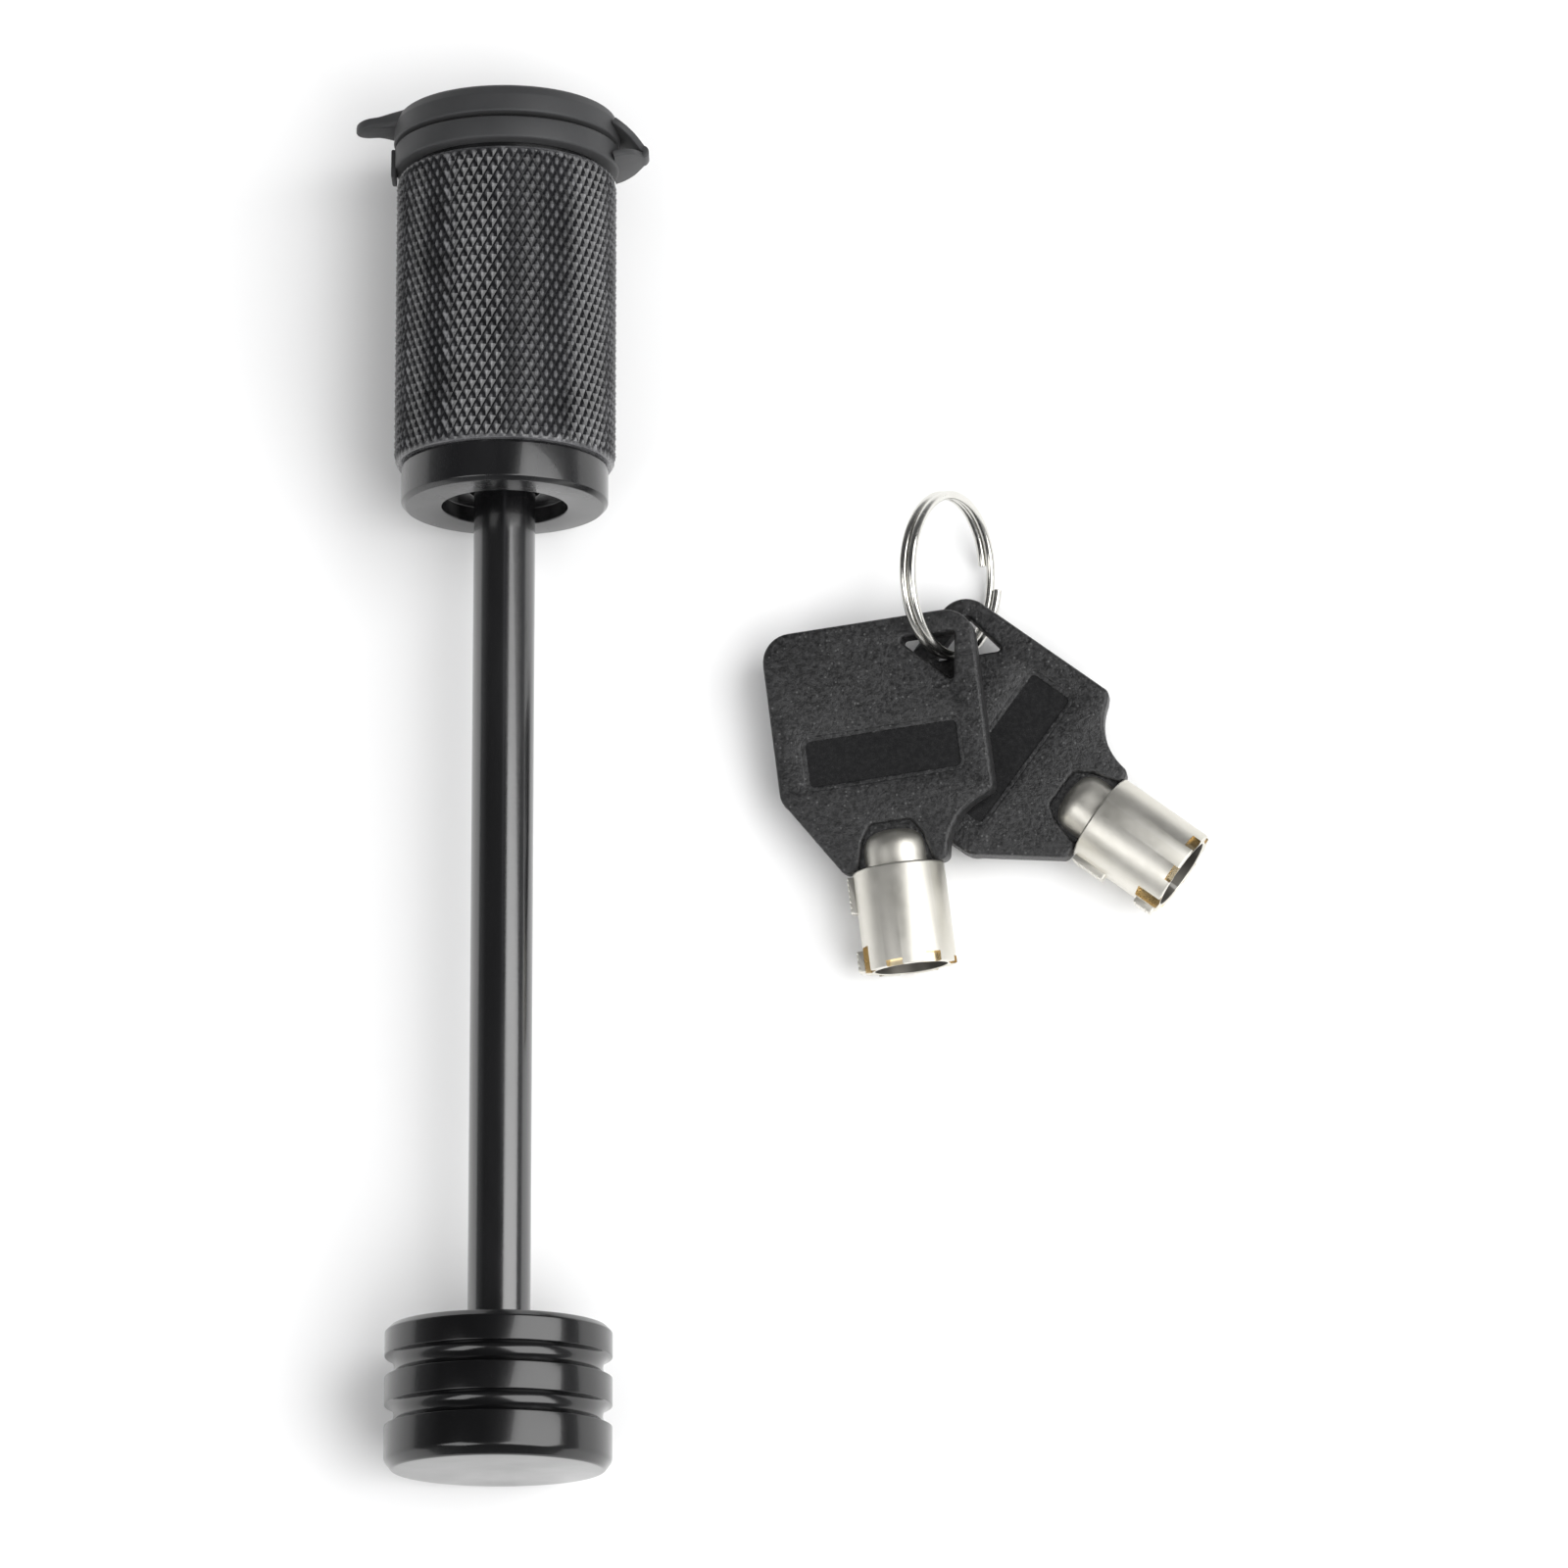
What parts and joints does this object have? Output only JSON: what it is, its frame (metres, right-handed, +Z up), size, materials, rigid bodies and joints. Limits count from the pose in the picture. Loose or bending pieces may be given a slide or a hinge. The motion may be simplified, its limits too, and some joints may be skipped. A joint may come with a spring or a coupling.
{
  "type": "hitch pin lock",
  "caption": "Straight locking pin with a grooved stop knob, a knurled barrel lock head with a rubber dust cap, and tubular keys on a split ring.",
  "frame": {"origin": "middle of the pin's working span, on the pin's axis", "axes": "+Y along the pin from the stop knob to the lock head, +Z up with the lock lying on its side, keys on the +X side"},
  "size_m": [0.0884, 0.1426, 0.0236],
  "materials": {
    "black_steel": "glossy black oxide over turned steel",
    "black_body": "glossy black anodised",
    "black_knurl": "black anodised diamond knurl with bright crests",
    "rubber": "matt moulded rubber",
    "bright_steel": "turned steel",
    "brass": "turned brass",
    "spring_steel": "plain spring steel",
    "key_plastic": "fine-grained black plastic",
    "nickel": "satin nickel plate over brass",
    "ring_wire": "bright nickel-plated wire"
  },
  "bodies": {
    "pin": {"pin_knob": "black_steel", "pin_shaft": "black_steel"},
    "head": {"lock_body": "black_body", "grip_sleeve": "black_knurl", "bore_seal": "rubber", "cap_ring": "rubber", "ball_cage": "bright_steel", "cylinder_case": "bright_steel", "pin_block": "brass", "retaining_pin": "spring_steel", "pin_spring_1": "spring_steel", "pin_spring_2": "spring_steel", "pin_spring_3": "spring_steel", "pin_spring_4": "spring_steel", "pin_spring_5": "spring_steel", "pin_spring_6": "spring_steel", "pin_spring_7": "spring_steel"},
    "cap": {"dust_cap": "rubber"},
    "spindle": {"rotor": "brass", "snap_ring": "spring_steel", "cam_cup": "brass"},
    "ball_a": {"ball_a": "bright_steel"},
    "ball_b": {"ball_b": "bright_steel"},
    "key_pin_1": {"key_pin_1": "brass"},
    "key_pin_2": {"key_pin_2": "brass"},
    "key_pin_3": {"key_pin_3": "brass"},
    "key_pin_4": {"key_pin_4": "brass"},
    "key_pin_5": {"key_pin_5": "brass"},
    "key_pin_6": {"key_pin_6": "brass"},
    "key_pin_7": {"key_pin_7": "brass"},
    "driver_pin_1": {"driver_pin_1": "spring_steel"},
    "driver_pin_2": {"driver_pin_2": "spring_steel"},
    "driver_pin_3": {"driver_pin_3": "spring_steel"},
    "driver_pin_4": {"driver_pin_4": "spring_steel"},
    "driver_pin_5": {"driver_pin_5": "spring_steel"},
    "driver_pin_6": {"driver_pin_6": "spring_steel"},
    "driver_pin_7": {"driver_pin_7": "spring_steel"},
    "key_2": {"key_2_bow": "key_plastic", "key_2_shank": "nickel"},
    "key_1": {"key_1_bow": "key_plastic", "key_1_shank": "nickel"},
    "key_ring": {"key_ring": "ring_wire"}
  },
  "joints": [
    {"name": "head_slide", "type": "slide", "parent": "pin", "child": "head", "axis": [0, 1, 0], "range_m": [0, 0.12]},
    {"name": "cap_open", "type": "hinge", "parent": "head", "child": "cap", "pos_m": [0.01435, 0.0811, 0], "axis": [0, 0, -1], "range_deg": [0, 150]},
    {"name": "spindle_turn", "type": "hinge", "parent": "head", "child": "spindle", "pos_m": [0, 0.07, 0], "axis": [0, 1, 0], "range_deg": [0, 90]},
    {"name": "ball_a_in", "type": "slide", "parent": "head", "child": "ball_a", "axis": [-1, 0, 0], "range_m": [0, 0.00106]},
    {"name": "ball_b_in", "type": "slide", "parent": "head", "child": "ball_b", "axis": [1, 0, 0], "range_m": [0, 0.00106]},
    {"name": "key_pin_1_push", "type": "slide", "parent": "spindle", "child": "key_pin_1", "axis": [0, -1, 0], "range_m": [-0.0004, 0]},
    {"name": "key_pin_2_push", "type": "slide", "parent": "spindle", "child": "key_pin_2", "axis": [0, -1, 0], "range_m": [-0.0024, 0]},
    {"name": "key_pin_3_push", "type": "slide", "parent": "spindle", "child": "key_pin_3", "axis": [0, -1, 0], "range_m": [-0.002, 0]},
    {"name": "key_pin_4_push", "type": "slide", "parent": "spindle", "child": "key_pin_4", "axis": [0, -1, 0], "range_m": [-0.0024, 0]},
    {"name": "key_pin_5_push", "type": "slide", "parent": "spindle", "child": "key_pin_5", "axis": [0, -1, 0], "range_m": [-0.0016, 0]},
    {"name": "key_pin_6_push", "type": "slide", "parent": "spindle", "child": "key_pin_6", "axis": [0, -1, 0], "range_m": [-0.002, 0]},
    {"name": "key_pin_7_push", "type": "slide", "parent": "spindle", "child": "key_pin_7", "axis": [0, -1, 0], "range_m": [-0.0024, 0]},
    {"name": "driver_1_push", "type": "slide", "parent": "head", "child": "driver_pin_1", "axis": [0, -1, 0], "range_m": [-0.0004, 0], "stiffness_N_per_m": 20, "springref_m": -0.003, "deforming": ["pin_spring_1"]},
    {"name": "driver_2_push", "type": "slide", "parent": "head", "child": "driver_pin_2", "axis": [0, -1, 0], "range_m": [-0.0024, 0], "stiffness_N_per_m": 20, "springref_m": -0.003, "deforming": ["pin_spring_2"]},
    {"name": "driver_3_push", "type": "slide", "parent": "head", "child": "driver_pin_3", "axis": [0, -1, 0], "range_m": [-0.002, 0], "stiffness_N_per_m": 20, "springref_m": -0.003, "deforming": ["pin_spring_3"]},
    {"name": "driver_4_push", "type": "slide", "parent": "head", "child": "driver_pin_4", "axis": [0, -1, 0], "range_m": [-0.0024, 0], "stiffness_N_per_m": 20, "springref_m": -0.003, "deforming": ["pin_spring_4"]},
    {"name": "driver_5_push", "type": "slide", "parent": "head", "child": "driver_pin_5", "axis": [0, -1, 0], "range_m": [-0.0016, 0], "stiffness_N_per_m": 20, "springref_m": -0.003, "deforming": ["pin_spring_5"]},
    {"name": "driver_6_push", "type": "slide", "parent": "head", "child": "driver_pin_6", "axis": [0, -1, 0], "range_m": [-0.002, 0], "stiffness_N_per_m": 20, "springref_m": -0.003, "deforming": ["pin_spring_6"]},
    {"name": "driver_7_push", "type": "slide", "parent": "head", "child": "driver_pin_7", "axis": [0, -1, 0], "range_m": [-0.0024, 0], "stiffness_N_per_m": 20, "springref_m": -0.003, "deforming": ["pin_spring_7"]},
    {"name": "keys_lift", "type": "slide", "parent": "pin", "child": "key_2", "axis": [0, 0, 1], "range_m": [0, 0.06]},
    {"name": "ring_turn", "type": "hinge", "parent": "key_2", "child": "key_ring", "pos_m": [0.04601, 0.03654, -0.00368], "axis": [0.8432, -0.1243, 0.523], "continuous": true},
    {"name": "key_1_swing", "type": "hinge", "parent": "key_2", "child": "key_1", "pos_m": [0.04601, 0.03654, -0.00368], "axis": [-0.8432, 0.1243, -0.523], "range_deg": [0, 60]}
  ],
  "couplings": [
    {"joint": "ball_a_in", "follows": "spindle_turn", "m_per_rad": 0.00067482},
    {"joint": "ball_b_in", "follows": "spindle_turn", "m_per_rad": 0.00067482},
    {"joint": "driver_1_push", "follows": "key_pin_1_push", "ratio": 1},
    {"joint": "driver_2_push", "follows": "key_pin_2_push", "ratio": 1},
    {"joint": "driver_3_push", "follows": "key_pin_3_push", "ratio": 1},
    {"joint": "driver_4_push", "follows": "key_pin_4_push", "ratio": 1},
    {"joint": "driver_5_push", "follows": "key_pin_5_push", "ratio": 1},
    {"joint": "driver_6_push", "follows": "key_pin_6_push", "ratio": 1},
    {"joint": "driver_7_push", "follows": "key_pin_7_push", "ratio": 1}
  ]
}
